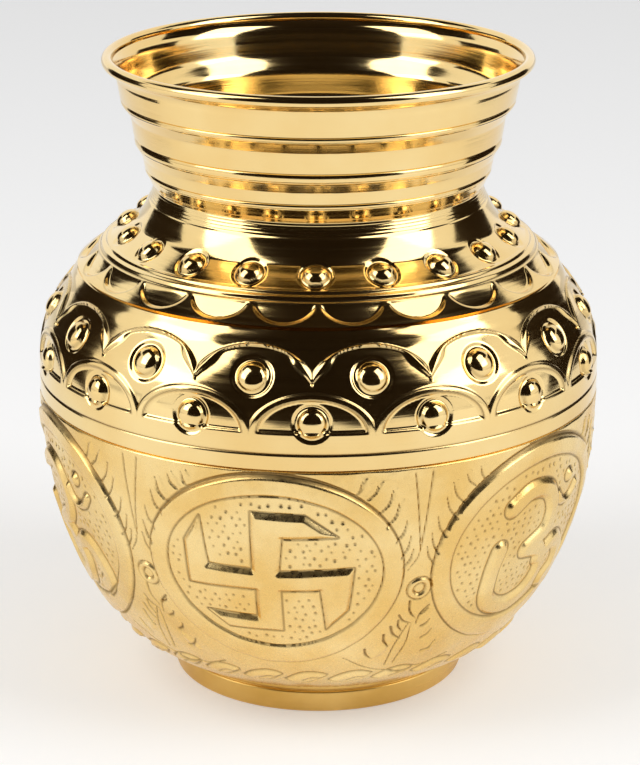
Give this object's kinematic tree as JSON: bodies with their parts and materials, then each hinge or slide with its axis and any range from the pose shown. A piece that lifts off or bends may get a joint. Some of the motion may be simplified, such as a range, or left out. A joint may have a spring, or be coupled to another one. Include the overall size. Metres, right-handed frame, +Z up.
{
  "type": "kalash",
  "caption": "Round-bellied brass ritual water pot with a stepped flaring neck, bossed shoulder and chased medallion bowl, on a turned ring foot.",
  "frame": {"origin": "centre of the foot ring's resting face", "axes": "+Z up along the pot's axis of revolution; the camera in the picture looks along +Y"},
  "size_m": [0.1159, 0.1154, 0.1301],
  "materials": {
    "polished_brass": "polished",
    "chased_brass": "satin, chased by hand",
    "turned_brass": "turned satin",
    "brazing_alloy": "as brazed"
  },
  "bodies": {
    "root": {"foot_ring": "turned_brass", "bowl": "chased_brass", "shoulder_shell": "polished_brass", "neck_collar": "polished_brass", "foot_braze": "brazing_alloy", "belly_braze": "brazing_alloy", "collar_braze": "brazing_alloy"}
  },
  "joints": []
}
